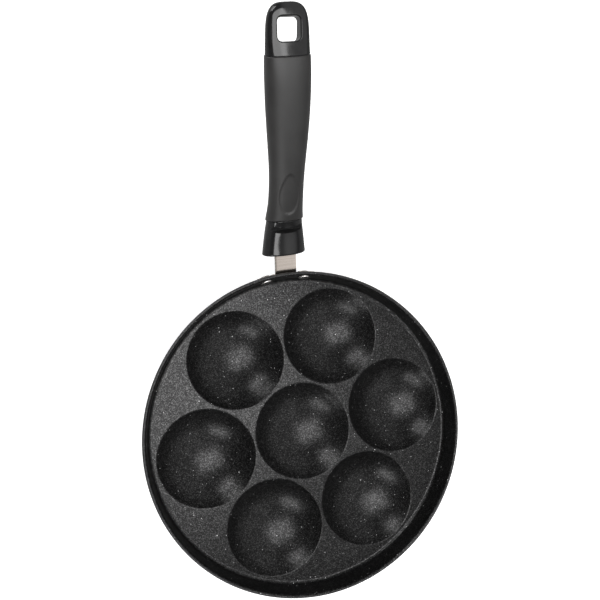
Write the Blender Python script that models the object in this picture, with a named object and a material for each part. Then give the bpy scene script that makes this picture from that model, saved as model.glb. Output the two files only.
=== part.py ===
# Seven-well egg pan: a cast tray with domed wells, a riveted steel bracket and
# a long moulded handle with a soft grip sleeve. Metres, +Z up, +Y along the handle.
# The origin is the centre of the ground flat under the middle well.
import math

import bmesh
import bpy
import numpy as np
from mathutils import Matrix, Vector

for old in list(bpy.data.objects):
    bpy.data.objects.remove(old, do_unlink=True)

MM = 0.001

# ---- driving dimensions (millimetres) ----
RIM_RADIUS = 120.0          # outside of the rim bead
PLATE_Z = 19.0              # upper face of the plate
PLATE_T = 3.0               # plate thickness
RIM_HEIGHT = 16.9           # rim top above the plate
WALL_T = 1.9                # rim wall thickness
WALL_FOOT_R = 115.2         # inner wall radius just above the corner fillet
WALL_DRAFT_DEG = 9.0        # wall leans outwards
CORNER_R = 3.0              # fillet between plate and inner wall
WELL_R = 36.3               # well mouth radius
WELL_DEPTH = 17.0
WELL_EDGE = 0.9             # rounding of the well's edge
WELL_RING_R = 74.7          # pitch radius of the six outer wells
WELL_PHASE_DEG = 5.5        # first outer well, from +X
DOME_R = 37.0               # underside dome radius where it leaves the plate
DOME_DROP = 17.0            # dome depth below the plate before it is ground flat
GROUND_CUT = 1.0            # metal ground off each dome for the stove flats

BRACKET_T = 1.6
BRACKET_HALF_W = 22.0       # half the width of the riveted plate
BRACKET_LOW_Z = 22.6        # lower edge of the riveted plate
BRACKET_TOP_Z = 32.9        # upper edge of the riveted plate's wings
RELIEF_W = 1.2              # notch beside the tang's bend
TANG_W = 15.8
TANG_SLOPE_DEG = 23.0
TANG_REF_Y = 127.0          # a point on the tang's upper face
TANG_REF_Z = 34.75
TANG_END_Y = 164.0
BEND_R = 4.2                # bend between plate and tang, on the upper face

RIVET_OFFSET_DEG = 7.05     # each side of the rivet pair's middle
RIVET_MID_DEG = 90.3
RIVET_Z = 29.8
RIVET_SHANK_R = 1.65
RIVET_HEAD_R = 4.4
RIVET_HEAD_H = 1.5
RIVET_TAIL_R = 3.4
RIVET_TAIL_H = 0.8

# handle: centreline height, full width, full thickness and corner fullness
LINE = [(135, 32.8), (142.5, 37.35), (150, 42.05), (157, 47.1), (166, 55.3), (188, 72.7), (212, 88.7), (236, 102.7), (258, 114.0), (281.5, 126.0)]
WIDTH = [(135, 32.0), (144, 29.5), (151, 27.4), (160, 24.9), (166, 24.0), (172, 23.5), (184, 23.3), (198, 24.8), (214, 27.2), (230, 28.9), (244, 29.1), (254, 28.6), (264, 27.8), (281.5, 26.2)]
THICK = [(135, 21.6), (150, 20.3), (160, 19.4), (174, 18.7), (190, 18.8), (212, 20.0), (232, 19.6), (248, 17.8), (256, 14.8), (262, 12.4), (270, 11.0), (281.5, 10.4)]
FULL = [(135, 2.4), (150, 2.25), (166, 2.15), (200, 2.25), (240, 2.45), (254, 3.0), (264, 3.5), (281.5, 3.5)]
MOUTH_Y = 134.6
MOUTH_ROUND = 1.2
TIP_Y = 281.9
TIP_START_Y = 263.5
GRIP_LOW_Y = 158.3
GRIP_HIGH_Y = 254.3
GRIP_END_DEG = 14.0         # the mouth and the sleeve's lower end face this far below level
GRIP_PROUD = 0.45           # sleeve above the core's nominal surface
GRIP_FLARE = 0.35           # extra at the sleeve's lower end
GRIP_DEEP = 1.9             # recess in the core below its nominal surface
GAP = 0.3

GROOVE_Y = 155.3
GROOVE_W = 4.2
GROOVE_DEPTH = 3.6
THUMB_Y = 176.8
THUMB_W = 17.6
THUMB_L = 34.0
THUMB_DEPTH = 1.0
HOLE_Y = 268.4              # middle of the hole's upper mouth
HOLE_W = 15.2
HOLE_L = 15.0
HOLE_R = 3.2
HOLE_TILT_DEG = 12.5        # the hole leans from square towards upright

SCREW_Y = 146.0
SCREW_R = 2.5
SEAT = 8.0                  # washer seat below the tang's middle plane
WASHER_T = 1.2
WASHER_R = 4.6
HEAD_R = 4.2
HEAD_H = 2.6


# ---------- helpers ----------
def natural_spline(points):
    """Natural cubic spline through (x, y) points; returns value and slope functions."""
    x = np.array([p[0] for p in points], float)
    y = np.array([p[1] for p in points], float)
    n = len(x)
    h = np.diff(x)
    a = np.zeros((n, n))
    b = np.zeros(n)
    a[0, 0] = a[-1, -1] = 1.0
    for i in range(1, n - 1):
        a[i, i - 1] = h[i - 1]
        a[i, i] = 2 * (h[i - 1] + h[i])
        a[i, i + 1] = h[i]
        b[i] = 6 * ((y[i + 1] - y[i]) / h[i] - (y[i] - y[i - 1]) / h[i - 1])
    m = np.linalg.solve(a, b)

    def both(t):
        i = int(min(max(np.searchsorted(x, t) - 1, 0), n - 2))
        d = h[i]
        u, v = x[i + 1] - t, t - x[i]
        value = (m[i] * u ** 3 + m[i + 1] * v ** 3) / (6 * d) + (y[i] / d - m[i] * d / 6) * u + (y[i + 1] / d - m[i + 1] * d / 6) * v
        slope = (-m[i] * u ** 2 + m[i + 1] * v ** 2) / (2 * d) - (y[i] / d - m[i] * d / 6) + (y[i + 1] / d - m[i + 1] * d / 6)
        return float(value), float(slope)

    return both


line = natural_spline(LINE)
width = natural_spline(WIDTH)
thick = natural_spline(THICK)
full = natural_spline(FULL)


def section(y):
    """Centre, along and up directions, half width, half thickness, fullness at station y."""
    z, s = line(y)
    n = math.hypot(1.0, s)
    along = Vector((0.0, 1.0 / n, s / n))
    up = Vector((0.0, -s / n, 1.0 / n))
    a, b = width(y)[0] / 2, thick(y)[0] / 2
    if y > TIP_START_Y:
        u = min((y - TIP_START_Y) / (TIP_Y - TIP_START_Y), 1.0)
        a *= max(1 - u ** 3.5, 0.0) ** (1 / 3.5)
        b *= max(1 - u ** 7.0, 0.0) ** (1 / 3.5)
    return Vector((0.0, y, z)), along, up, a, b, full(y)[0]


def skin(y, t, offset=0.0):
    """Point of the handle's surface at station y and angle t round the section, in millimetres."""
    c, _, up, a, b, p = section(y)
    a, b = max(a + offset, 0.4), max(b + offset, 0.4)
    ct, st = math.cos(t), math.sin(t)
    x = math.copysign(abs(ct) ** (2 / p), ct) * a
    w = math.copysign(abs(st) ** (2 / p), st) * b
    return c + Vector((x, 0, 0)) + up * w


def ring(y, offset=0.0, count=32, tilt=0.0):
    """Closed ring of surface points. With tilt 1 it lies in the plane of the mouth and of the sleeve's lower end,
    with 0 square to the centreline, and in between for the values between."""
    c, along, _, _, _, _ = section(y)
    end = Vector((0, math.cos(math.radians(GRIP_END_DEG)), math.sin(math.radians(GRIP_END_DEG))))
    n = along.lerp(end, tilt).normalized()
    out = []
    for k in range(count):
        t = 2 * math.pi * (k + 0.5) / count
        s = y
        for _ in range(12 if tilt else 0):
            s -= (skin(s, t, offset) - c).dot(n) * along.y * 0.8
        out.append(skin(s, t, offset) * MM)
    return out


def material(name, color, rough, metal):
    mat = bpy.data.materials.new(name)
    mat.use_nodes = True
    bsdf = mat.node_tree.nodes["Principled BSDF"]
    bsdf.inputs["Base Color"].default_value = (*color, 1)
    bsdf.inputs["Roughness"].default_value = rough
    bsdf.inputs["Metallic"].default_value = metal
    return mat


def link(name, bm, mat=None, smooth=30):
    bmesh.ops.recalc_face_normals(bm, faces=bm.faces)
    me = bpy.data.meshes.new(name)
    bm.to_mesh(me)
    bm.free()
    ob = bpy.data.objects.new(name, me)
    bpy.context.scene.collection.objects.link(ob)
    if mat:
        me.materials.append(mat)
        me.shade_smooth()
        me.set_sharp_from_angle(angle=math.radians(smooth))
    else:
        ob.hide_render = True
        ob.display_type = "WIRE"
    return ob


def boolean(ob, tool, op="DIFFERENCE"):
    mod = ob.modifiers.new(op.lower() + "_" + tool.name, "BOOLEAN")
    mod.operation = op
    mod.object = tool
    mod.solver = "EXACT"


def lathe(name, profile, count, mat=None, matrix=None):
    """Turned solid from a closed (r, z) profile in millimetres, spun about Z."""
    bm = bmesh.new()
    verts = [bm.verts.new((r * MM, 0, z * MM)) for r, z in profile]
    edges = [bm.edges.new((verts[i], verts[i + 1])) for i in range(len(verts) - 1)]
    bmesh.ops.spin(bm, geom=verts + edges, cent=(0, 0, 0), axis=(0, 0, 1), angle=2 * math.pi, steps=count, use_merge=True)
    bmesh.ops.remove_doubles(bm, verts=bm.verts, dist=1e-6)
    if matrix is not None:
        bmesh.ops.transform(bm, matrix=matrix, verts=bm.verts)
    return link(name, bm, mat)


def prism(name, outline, low, high, matrix=None):
    """Extruded outline (x, y) between two heights, in millimetres."""
    bm = bmesh.new()
    face = bm.faces.new([bm.verts.new((x * MM, y * MM, low * MM)) for x, y in outline])
    up = bmesh.ops.extrude_face_region(bm, geom=[face])
    bmesh.ops.translate(bm, vec=(0, 0, (high - low) * MM), verts=[g for g in up["geom"] if isinstance(g, bmesh.types.BMVert)])
    if matrix is not None:
        bmesh.ops.transform(bm, matrix=matrix, verts=bm.verts)
    return link(name, bm)


def rounded_rect(w, l, r, steps=4):
    out = []
    for cx, cy, a0 in ((w / 2 - r, l / 2 - r, 0), (-w / 2 + r, l / 2 - r, 90), (-w / 2 + r, -l / 2 + r, 180), (w / 2 - r, -l / 2 + r, 270)):
        for k in range(steps + 1):
            t = math.radians(a0 + 90 * k / steps)
            out.append((cx + r * math.cos(t), cy + r * math.sin(t)))
    return out


def loft(bm, rings):
    """Skin a list of closed rings; returns the vertex rings."""
    vr = [[bm.verts.new(p) for p in r] for r in rings]
    for a, b in zip(vr, vr[1:]):
        n = len(a)
        for k in range(n):
            bm.faces.new((a[k], a[(k + 1) % n], b[(k + 1) % n], b[k]))
    return vr


def frame_matrix(origin, x_dir, y_dir, z_dir):
    m = Matrix.Identity(4)
    for i, d in enumerate((x_dir, y_dir, z_dir)):
        m.col[i][:3] = d[:]
    m.translation = Vector(origin) * MM
    return m


# ---------- materials ----------
COATING = material("coating", (0.035, 0.035, 0.037), 0.45, 0.0)
STEEL = material("steel", (0.58, 0.54, 0.50), 0.32, 1.0)
RIVET = material("rivet_metal", (0.70, 0.68, 0.67), 0.38, 1.0)
GLOSS = material("handle_gloss", (0.022, 0.022, 0.023), 0.12, 0.0)
SOFT = material("grip_soft", (0.050, 0.050, 0.050), 0.62, 0.0)
SCREW = material("screw_steel", (0.55, 0.55, 0.56), 0.30, 1.0)
SPRING = material("washer_steel", (0.35, 0.35, 0.36), 0.35, 1.0)


# ---------- pan body ----------
TAN = math.tan(math.radians(WALL_DRAFT_DEG))


def inner_r(z):
    return WALL_FOOT_R + (z - PLATE_Z - 2.5) * TAN


def outer_r(z):
    return inner_r(z) + WALL_T


z1 = PLATE_Z + RIM_HEIGHT
tray = [(0.0, PLATE_Z - PLATE_T), (112.6, PLATE_Z - PLATE_T), (115.2, PLATE_Z - 2.5), (116.8, PLATE_Z - 1.2),
        (outer_r(PLATE_Z + 0.8), PLATE_Z + 0.8), (outer_r(z1 - 2.6), z1 - 2.6), (119.7, z1 - 2.1), (RIM_RADIUS, z1 - 1.3),
        (119.6, z1 - 0.4), (118.7, z1), (117.8, z1 - 0.3), (inner_r(z1 - 1.5), z1 - 1.5),
        (inner_r(PLATE_Z + 2.5), PLATE_Z + 2.5)]
for k in range(1, 4):
    t = math.radians(90 * k / 3 * 0.9)
    tray.append((WALL_FOOT_R - CORNER_R + CORNER_R * math.cos(t) + 0.0, PLATE_Z + CORNER_R - CORNER_R * math.sin(t)))
tray.append((WALL_FOOT_R - CORNER_R - 0.6, PLATE_Z))
tray.append((0.0, PLATE_Z))
pan = lathe("pan_body", tray, 64, COATING)

well_centres = [(0.0, 0.0)]
for k in range(6):
    t = math.radians(WELL_PHASE_DEG + 60 * k)
    well_centres.append((WELL_RING_R * math.cos(t), WELL_RING_R * math.sin(t)))

DOME_SPHERE = (DOME_R ** 2 + DOME_DROP ** 2) / (2 * DOME_DROP)
DOME_CENTRE = -GROUND_CUT + DOME_SPHERE
WELL_SPHERE = (WELL_R ** 2 + WELL_DEPTH ** 2) / (2 * WELL_DEPTH)
WELL_CENTRE = PLATE_Z - WELL_DEPTH + WELL_SPHERE

flat_r = math.sqrt(DOME_SPHERE ** 2 - DOME_CENTRE ** 2)
dome = [(0.0, 0.0), (flat_r, 0.0)]
for k in range(1, 5):
    r = flat_r + (DOME_R - flat_r) * (k / 4) ** 0.85
    dome.append((r, DOME_CENTRE - math.sqrt(DOME_SPHERE ** 2 - r * r)))
dome += [(DOME_R, PLATE_Z - PLATE_T / 2), (0.0, PLATE_Z - PLATE_T / 2)]

well = [(0.0, PLATE_Z - WELL_DEPTH)]
for k in range(1, 6):
    r = (WELL_R - WELL_EDGE * 0.7) * (k / 5) ** 0.85
    well.append((r, WELL_CENTRE - math.sqrt(WELL_SPHERE ** 2 - r * r)))
well += [(WELL_R + 0.1, PLATE_Z - 0.22), (WELL_R + WELL_EDGE, PLATE_Z + 0.05), (WELL_R + WELL_EDGE, PLATE_Z + 3.0), (0.0, PLATE_Z + 3.0)]

for i, (cx, cy) in enumerate(well_centres):
    at = Matrix.Translation(Vector((cx, cy, 0)) * MM)
    boolean(pan, lathe("dome_%d" % i, dome, 28, None, at), "UNION")
for i, (cx, cy) in enumerate(well_centres):
    at = Matrix.Translation(Vector((cx, cy, 0)) * MM)
    boolean(pan, lathe("well_%d" % i, well, 28, None, at))

# rivets stand square to the sloping wall
cd, sd = math.cos(math.radians(WALL_DRAFT_DEG)), math.sin(math.radians(WALL_DRAFT_DEG))
rivets = {}
for name, sign in (("rivet_left", 1), ("rivet_right", -1)):
    t = math.radians(RIVET_MID_DEG + sign * RIVET_OFFSET_DEG)
    radial, tangent = Vector((math.cos(t), math.sin(t), 0)), Vector((-math.sin(t), math.cos(t), 0))
    axis = radial * cd - Vector((0, 0, 1)) * sd
    foot = radial * inner_r(RIVET_Z) + Vector((0, 0, RIVET_Z))
    rivets[name] = frame_matrix(foot, tangent, axis.cross(tangent), axis)

GRIP_LEN = WALL_T * cd + GAP + BRACKET_T      # wall, gap and bracket between the heads
for name, m in rivets.items():
    bore = [(0.0, -6.0), (RIVET_SHANK_R + GAP, -6.0), (RIVET_SHANK_R + GAP, 9.0), (0.0, 9.0)]
    boolean(pan, lathe("bore_" + name, bore, 20, None, m))
    h0, h1 = -GAP, GRIP_LEN + GAP
    body = [(0.0, h0 - RIVET_HEAD_H), (RIVET_HEAD_R * 0.45, h0 - RIVET_HEAD_H * 0.93), (RIVET_HEAD_R * 0.8, h0 - RIVET_HEAD_H * 0.66),
            (RIVET_HEAD_R * 0.97, h0 - RIVET_HEAD_H * 0.3), (RIVET_HEAD_R, h0), (RIVET_SHANK_R, h0), (RIVET_SHANK_R, h1), (RIVET_TAIL_R, h1),
            (RIVET_TAIL_R * 0.97, h1 + RIVET_TAIL_H * 0.35), (RIVET_TAIL_R * 0.78, h1 + RIVET_TAIL_H * 0.8), (RIVET_TAIL_R * 0.4, h1 + RIVET_TAIL_H), (0.0, h1 + RIVET_TAIL_H)]
    lathe(name, body, 20, RIVET, m)

# ---------- handle bracket ----------
# A stamped strip: the wings follow the wall, the middle bends out into the tang.
slope = math.radians(TANG_SLOPE_DEG)
tang_dir = Vector((0, math.cos(slope), math.sin(slope)))
tang_up = Vector((0, -math.sin(slope), math.cos(slope)))
wall_lean = math.radians(WALL_DRAFT_DEG)


def back_r(z):
    return outer_r(z) + GAP / cd


# The upper face runs up the wall, turns through an arc and leaves along the tang's slope.
# Work in the plane x = 0: wall line through (back_r(z), z), tang line through the reference point.
w_dir = Vector((0, math.sin(wall_lean), math.cos(wall_lean)))
turn = (math.pi / 2 - wall_lean) - slope
w0 = Vector((0, back_r(BRACKET_LOW_Z), BRACKET_LOW_Z))
t0 = Vector((0, TANG_REF_Y, TANG_REF_Z))
det = w_dir.y * (-tang_dir.z) - (-tang_dir.y) * w_dir.z
rhs = t0 - w0
along_wall = (rhs.y * (-tang_dir.z) - (-tang_dir.y) * rhs.z) / det
corner = w0 + w_dir * along_wall
back_off = BEND_R * math.tan(turn / 2)
bend_start = corner - w_dir * back_off
bend_end = corner + tang_dir * back_off
bend_centre = bend_start + Vector((0, w_dir.z, -w_dir.y)) * BEND_R

path = []                    # (point on the front face, outward normal, blend to flat 0..1)
wall_out = Vector((0, w_dir.z, -w_dir.y))
wing_top = Vector((0, back_r(BRACKET_TOP_Z), BRACKET_TOP_Z))
rise = (bend_start - w0).length
for s in (0.0, rise * 0.5, rise):
    path.append((w0 + w_dir * s, wall_out, 0.0))
for k in range(1, 6):
    ang = turn * k / 5
    c, s = math.cos(-ang), math.sin(-ang)
    v = bend_start - bend_centre
    p = bend_centre + Vector((0, v.y * c - v.z * s, v.y * s + v.z * c))
    path.append((p, (bend_centre - p).normalized(), k / 5))
tang_end = t0 + tang_dir * ((TANG_END_Y - TANG_REF_Y) / math.cos(slope))
for f in (0.33, 0.66, 1.0):
    path.append((bend_end.lerp(tang_end, f), -tang_up, 1.0))

# the wings stand higher than the bend, with a notch between them and the tang
WING_ROW = len(path)
path.append((wing_top, wall_out, 0.0))

half = TANG_W / 2
side_x = [half + RELIEF_W, 12.6, 17.5, BRACKET_HALF_W - 2.2, BRACKET_HALF_W]
columns = [-x for x in reversed(side_x)] + [-half, -half / 2, 0.0, half / 2, half] + side_x
bm = bmesh.new()
front, rear = {}, {}
for j, (p, normal, flat) in enumerate(path):
    for i, x in enumerate(columns):
        if (abs(x) < half + RELIEF_W - 0.01) if j == WING_ROW else (j > 2 and abs(x) > half + 0.01):
            continue
        q0 = p.copy()
        if abs(x) > BRACKET_HALF_W - 0.1:      # rounded wing corners
            q0 += w_dir * (2.2 if j == 0 else (-2.2 if j == WING_ROW else 0.0))
        for side, depth in ((front, 0.0), (rear, BRACKET_T)):
            q = q0 + normal * depth
            t = x / back_r(PLATE_Z + 10.0)
            bent = Vector((q.y * math.sin(t), q.y * math.cos(t), q.z))
            side[j, i] = bm.verts.new(bent.lerp(Vector((x, q.y, q.z)), flat) * MM)
cells = []
steps = [(j, j + 1) for j in range(WING_ROW - 1)] + [(2, WING_ROW)]
for j, j2 in steps:
    for i in range(len(columns) - 1):
        keys = [(j, i), (j, i + 1), (j2, i + 1), (j2, i)]
        if all(k in front for k in keys):
            cells.append(keys)
edge_use = {}
for keys in cells:
    bm.faces.new([front[k] for k in keys])
    bm.faces.new([rear[k] for k in reversed(keys)])
    for a, b in zip(keys, keys[1:] + keys[:1]):
        edge_use.setdefault(frozenset((a, b)), []).append((a, b))
for use in edge_use.values():
    if len(use) == 1:
        a, b = use[0]
        bm.faces.new((front[b], front[a], rear[a], rear[b]))
bracket = link("handle_bracket", bm, STEEL)
for name, m in rivets.items():
    hole = [(0.0, -6.0), (RIVET_SHANK_R + GAP, -6.0), (RIVET_SHANK_R + GAP, 9.0), (0.0, 9.0)]
    boolean(bracket, lathe("punch_" + name, hole, 20, None, m))

# screw axis, square to the tang, from its middle plane downwards
mid = t0 + tang_dir * ((SCREW_Y - TANG_REF_Y) / math.cos(slope)) - tang_up * (BRACKET_T / 2)
screw_m = frame_matrix(mid, Vector((1, 0, 0)), tang_dir, tang_up)
tap = [(0.0, -4.0), (SCREW_R + GAP, -4.0), (SCREW_R + GAP, 4.0), (0.0, 4.0)]
boolean(bracket, lathe("tapped_hole", tap, 20, None, screw_m))

# ---------- handle core ----------
N = 28
stations = []
for k in range(4):                                    # rounded mouth
    t = math.radians(90 * k / 3)
    stations.append((MOUTH_Y + MOUTH_ROUND * (1 - math.cos(t)), -MOUTH_ROUND * (1 - math.sin(t))))
for y in (140.5, 144.5, 148.5):
    stations.append((y, 0.0))
core_rings = [ring(y, o, N, 1.0) for y, o in stations]
low_shoulder, high_shoulder = GRIP_LOW_Y - GAP, GRIP_HIGH_Y + GAP
for y in (151.8, 155.0, low_shoulder):
    core_rings.append(ring(y, 0.0, N, 1.0))
for k, y in enumerate(np.linspace(low_shoulder, high_shoulder, 11)):
    core_rings.append(ring(float(y), -GRIP_DEEP, N, max(1.0 - k / 3, 0.0)))
core_rings.append(ring(high_shoulder, 0.0, N))
for y in (257.0, 260.0, 263.5, 267.5, 271.0, 274.0, 276.6, 278.6, 280.2, 281.2, 281.8):
    core_rings.append(ring(y, 0.0, N))
bm = bmesh.new()
vr = loft(bm, core_rings)
bm.faces.new(list(reversed(vr[0])))
bm.faces.new(vr[-1])
core = link("handle_core", bm, GLOSS)

# pocket for the tang
pocket_len = (TANG_END_Y - 118.0) / math.cos(slope)
pocket_m = frame_matrix(t0 + tang_dir * ((118.0 - TANG_REF_Y) / math.cos(slope)), Vector((1, 0, 0)), tang_dir, tang_up)
w = TANG_W / 2 + GAP
boolean(core, prism("tang_pocket", [(-w, 0), (w, 0), (w, pocket_len + 0.6), (-w, pocket_len + 0.6)], -BRACKET_T - GAP, GAP, pocket_m))

# screw bore, blind above the tang, and the counterbore for the washer and head
boolean(core, lathe("screw_bore", [(0.0, -30.0), (WASHER_R + 0.5, -30.0), (WASHER_R + 0.5, -SEAT), (SCREW_R + GAP, -SEAT), (SCREW_R + GAP, 4.5), (0.0, 4.5)], 24, None, screw_m))

# cross groove on the upper face
c, along, up, a, b, _ = section(GROOVE_Y)
groove_m = frame_matrix(c + up * b, Vector((1, 0, 0)), along, up)
boolean(core, prism("groove", [(-20, -GROOVE_W / 2), (20, -GROOVE_W / 2), (20, GROOVE_W / 2), (-20, GROOVE_W / 2)], -GROOVE_DEPTH, 8.0, groove_m))

# hanging hole through the end of the handle
c, along, up, a, b, _ = section(HOLE_Y)
ct, st = math.cos(math.radians(HOLE_TILT_DEG)), math.sin(math.radians(HOLE_TILT_DEG))
hole_m = frame_matrix(c + up * b, Vector((1, 0, 0)), along * ct - up * st, up * ct + along * st)
boolean(core, prism("hanging_hole", rounded_rect(HOLE_W, HOLE_L, HOLE_R), -26.0, 8.0, hole_m))

# ---------- soft grip sleeve ----------
def proud(y):
    return GRIP_PROUD + GRIP_FLARE * math.exp(-((y - GRIP_LOW_Y) / 6.0) ** 2)


ys = [GRIP_LOW_Y + 0.5, GRIP_LOW_Y + 5.0, GRIP_LOW_Y + 12.0] + [float(y) for y in np.linspace(GRIP_LOW_Y + 20.0, GRIP_HIGH_Y - 0.5, 10)]
tilts = [1.0, 0.85, 0.5, 0.2] + [0.0] * 9
outer = [ring(GRIP_LOW_Y, proud(GRIP_LOW_Y) - 0.5, N, 1.0)] + [ring(y, proud(y), N, f) for y, f in zip(ys, tilts)] + [ring(GRIP_HIGH_Y, GRIP_PROUD - 0.5, N)]
inner = [ring(float(y), -GRIP_DEEP + GAP, N, max((k - 7) / 3, 0.0)) for k, y in enumerate(np.linspace(GRIP_HIGH_Y, GRIP_LOW_Y, 11))]
bm = bmesh.new()
vr = loft(bm, outer + inner)
for k in range(N):
    bm.faces.new((vr[-1][k], vr[-1][(k + 1) % N], vr[0][(k + 1) % N], vr[0][k]))
grip = link("soft_grip", bm, SOFT)

# thumb rest: a shallow oval dip in the upper face
c, along, up, a, b, _ = section(THUMB_Y)
rad = (THUMB_W ** 2 / 4 + THUMB_DEPTH ** 2) / (2 * THUMB_DEPTH)
bm = bmesh.new()
bmesh.ops.create_uvsphere(bm, u_segments=32, v_segments=32, radius=1.0)
scale = Matrix.Diagonal((rad * MM, rad * MM * THUMB_L / THUMB_W, rad * MM, 1))
thumb_m = frame_matrix(c + up * (b + GRIP_PROUD + rad - THUMB_DEPTH - 0.5), Vector((1, 0, 0)), along, up)
bmesh.ops.transform(bm, matrix=thumb_m @ scale, verts=bm.verts)
boolean(grip, link("thumb_dip", bm))

# ---------- screw and spring washer ----------
gap0 = 0.3
top = -SEAT - gap0
ringp = [(SCREW_R + GAP, top - WASHER_T), (WASHER_R, top - WASHER_T), (WASHER_R, top), (SCREW_R + GAP, top), (SCREW_R + GAP, top - WASHER_T)]
washer = lathe("spring_washer", ringp, 28, SPRING, screw_m)
slit_m = screw_m @ Matrix.Rotation(math.radians(14), 4, "Y")
boolean(washer, prism("washer_slit", [(0.0, -0.45), (8.0, -0.45), (8.0, 0.45), (0.0, 0.45)], -14.0, 0.0, slit_m))

under = top - WASHER_T - gap0
screw = [(0.0, under - HEAD_H), (HEAD_R * 0.55, under - HEAD_H), (HEAD_R * 0.88, under - HEAD_H * 0.72), (HEAD_R, under - HEAD_H * 0.3), (HEAD_R, under),
         (SCREW_R, under), (SCREW_R, 3.0), (SCREW_R - 0.6, 3.8), (0.0, 3.8)]
bolt = lathe("handle_screw", screw, 24, SCREW, screw_m)
for k, rot in enumerate((0, 90)):
    m = screw_m @ Matrix.Rotation(math.radians(45 + rot), 4, "Z")
    boolean(bolt, prism("cross_%d" % k, [(-2.3, -0.55), (2.3, -0.55), (2.3, 0.55), (-2.3, 0.55)], under - HEAD_H - 1.0, under - HEAD_H + 1.5, m))

root = bpy.data.objects.new("egg_pan", None)
bpy.context.scene.collection.objects.link(root)
for ob in list(bpy.context.scene.collection.objects):
    if ob is not root:
        ob.parent = root
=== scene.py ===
import math

import bmesh
import bpy
import numpy as np
from mathutils import Matrix, Quaternion, Vector
from mathutils.geometry import delaunay_2d_cdt


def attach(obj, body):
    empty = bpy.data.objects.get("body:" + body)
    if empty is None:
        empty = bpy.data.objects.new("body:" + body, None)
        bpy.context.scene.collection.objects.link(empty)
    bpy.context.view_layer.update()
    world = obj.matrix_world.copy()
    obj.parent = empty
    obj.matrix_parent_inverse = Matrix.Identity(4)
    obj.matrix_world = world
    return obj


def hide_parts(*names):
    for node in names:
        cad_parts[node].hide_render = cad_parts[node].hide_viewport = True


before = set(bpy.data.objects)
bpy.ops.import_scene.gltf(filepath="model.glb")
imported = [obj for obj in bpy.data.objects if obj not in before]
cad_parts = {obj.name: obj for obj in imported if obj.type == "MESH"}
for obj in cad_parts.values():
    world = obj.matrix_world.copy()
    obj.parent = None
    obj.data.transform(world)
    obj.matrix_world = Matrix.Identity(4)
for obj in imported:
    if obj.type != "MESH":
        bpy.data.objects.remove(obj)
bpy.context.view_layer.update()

MM = 0.001
rad = math.radians

# ------------------------------------------------------------------ driving sizes
PLATE_Z, PLATE_T, RIM_HEIGHT = 19.0, 3.0, 16.9
RIM_TOP = PLATE_Z + RIM_HEIGHT
WALL_T, WALL_FOOT_R, DRAFT = 1.9, 115.2, rad(9.0)
CORNER_R = 2.4
WELL_R, WELL_DEPTH, WELL_EDGE = 36.3, 17.0, 1.5
WELL_RING_R, WELL_PHASE = 74.7, rad(5.5)
DOME_R, DOME_DROP, GROUND_CUT = 37.0, 17.0, 1.0

BRACKET_T, BRACKET_HALF_W = 1.6, 22.0
BRACKET_LOW_Z, BRACKET_TOP_Z, RELIEF_W, WING_T = 22.6, 32.9, 1.2, 1.1
TANG_W, TANG_SLOPE = 15.8, rad(23.0)
TANG_REF_Y, TANG_REF_Z, TANG_END_Y, BEND_R = 127.0, 34.75, 164.0, 4.2

RIVET_OFFSET, RIVET_MID, RIVET_Z = rad(7.05), rad(90.3), 29.8
RIVET_SHANK_R, RIVET_HEAD_R, RIVET_HEAD_H, RIVET_TAIL_R, RIVET_TAIL_H = 1.65, 4.4, 1.5, 3.4, 0.8

LINE = [(135, 32.8), (142.5, 37.35), (150, 42.05), (157, 47.1), (166, 55.3), (188, 72.7), (212, 88.7), (236, 102.7), (258, 114.0), (281.5, 126.0)]
WIDTH = [(135, 32.0), (144, 29.5), (151, 27.4), (160, 24.9), (166, 24.0), (172, 23.5), (184, 23.3), (198, 24.8), (214, 27.2), (230, 28.9), (244, 29.1), (254, 28.6), (264, 27.8), (281.5, 26.2)]
THICK = [(135, 21.6), (150, 20.3), (160, 19.4), (174, 18.7), (190, 18.8), (212, 20.0), (232, 19.6), (248, 17.8), (256, 14.8), (262, 12.4), (270, 11.0), (281.5, 10.4)]
FULL = [(135, 2.12), (150, 2.36), (157, 2.3), (166, 2.15), (200, 2.25), (240, 2.45), (254, 2.8), (264, 3.05), (281.5, 3.1)]
MOUTH_Y, MOUTH_ROUND = 134.6, 1.2
TIP_Y, TIP_START_Y, TIP_LAST_Y = 281.8, 263.5, 281.76
GRIP_LOW_Y, GRIP_HIGH_Y, GRIP_END = 158.3, 254.3, rad(14.0)
GRIP_PROUD, GRIP_FLARE, GRIP_DEEP, GAP = 0.45, 0.35, 1.9, 0.3
GROOVE_Y, GROOVE_W, GROOVE_DEPTH = 155.3, 4.2, 3.6
THUMB_Y, THUMB_DEPTH = 176.8, 1.0
HOLE_Y, HOLE_W, HOLE_L, HOLE_R, HOLE_LIP, HOLE_TILT = 268.7, 14.8, 14.3, 3.0, 0.95, rad(12.5)
SCREW_Y, SCREW_R, SEAT = 146.0, 2.5, 8.0
WASHER_T, WASHER_R, HEAD_R, HEAD_H = 1.2, 4.6, 4.2, 2.6


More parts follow.
